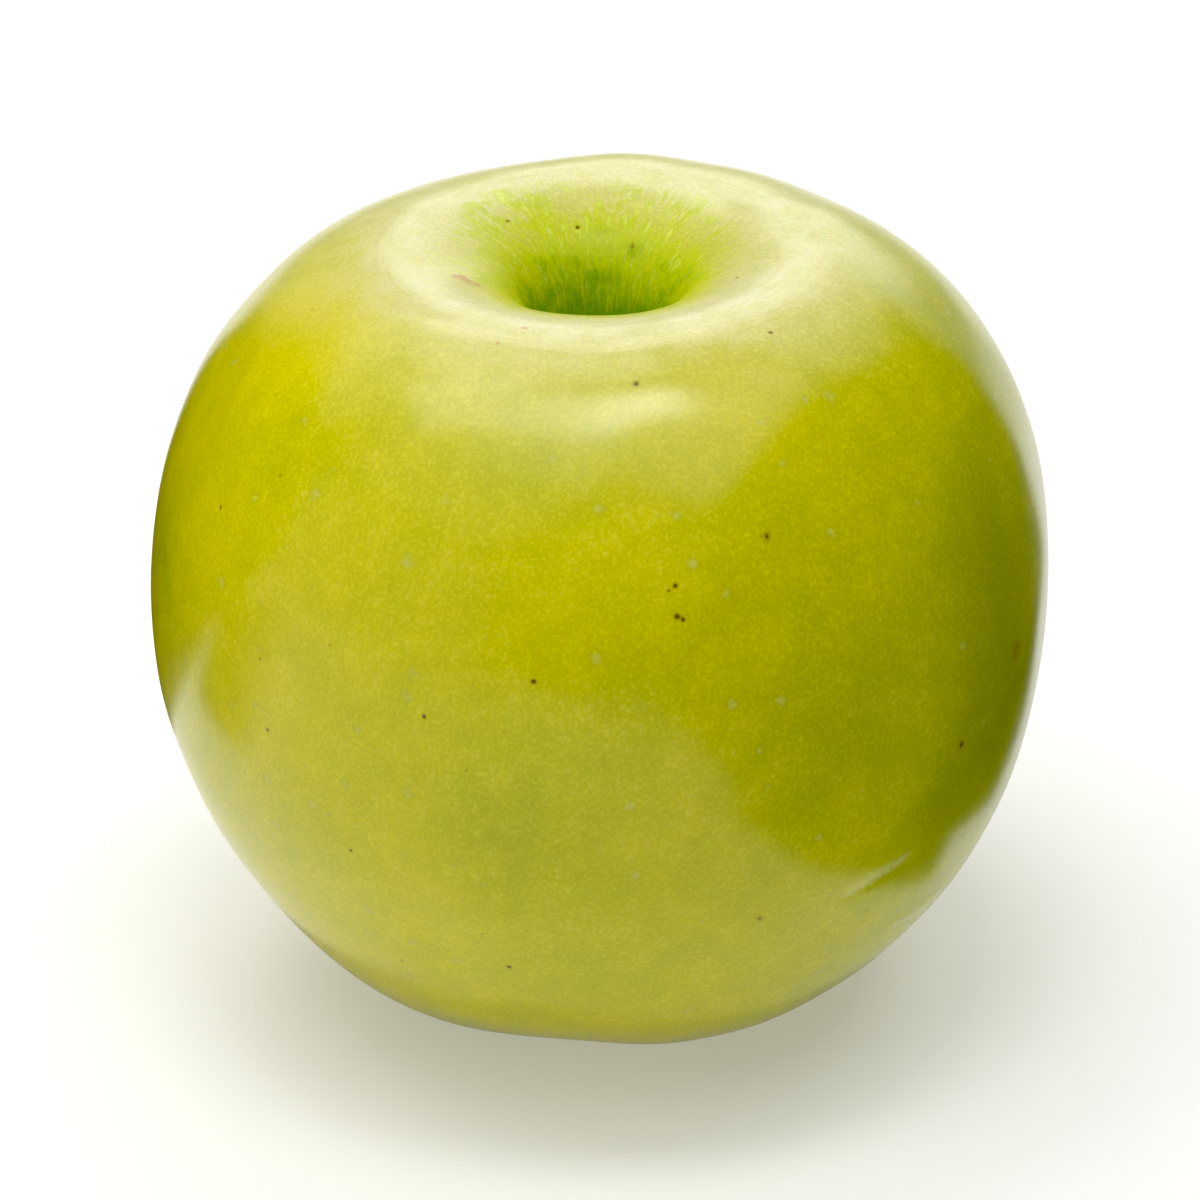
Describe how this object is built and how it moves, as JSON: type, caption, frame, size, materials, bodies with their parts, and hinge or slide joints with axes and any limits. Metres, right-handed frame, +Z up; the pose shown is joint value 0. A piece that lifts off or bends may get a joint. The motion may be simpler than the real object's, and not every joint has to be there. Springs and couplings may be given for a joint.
{
  "type": "green apple",
  "caption": "Whole round dessert apple with a smooth waxy skin, a deep funnel at the stem, a short dry stem stub and a dried calyx in a shallow basin.",
  "frame": {"origin": "under the middle of the fruit's box, on the surface it stands on", "axes": "+Z up along the core from calyx to stem, -Y towards the side that the picture shows, +X to that picture's right"},
  "size_m": [0.0798, 0.0802, 0.0708],
  "materials": {
    "apple_skin": "waxy semi-gloss",
    "stem_bark": "dry, matte",
    "dried_calyx": "dry, papery, matte"
  },
  "bodies": {
    "root": {"fruit": "apple_skin", "stem_stub": "stem_bark", "calyx": "dried_calyx"}
  },
  "joints": []
}
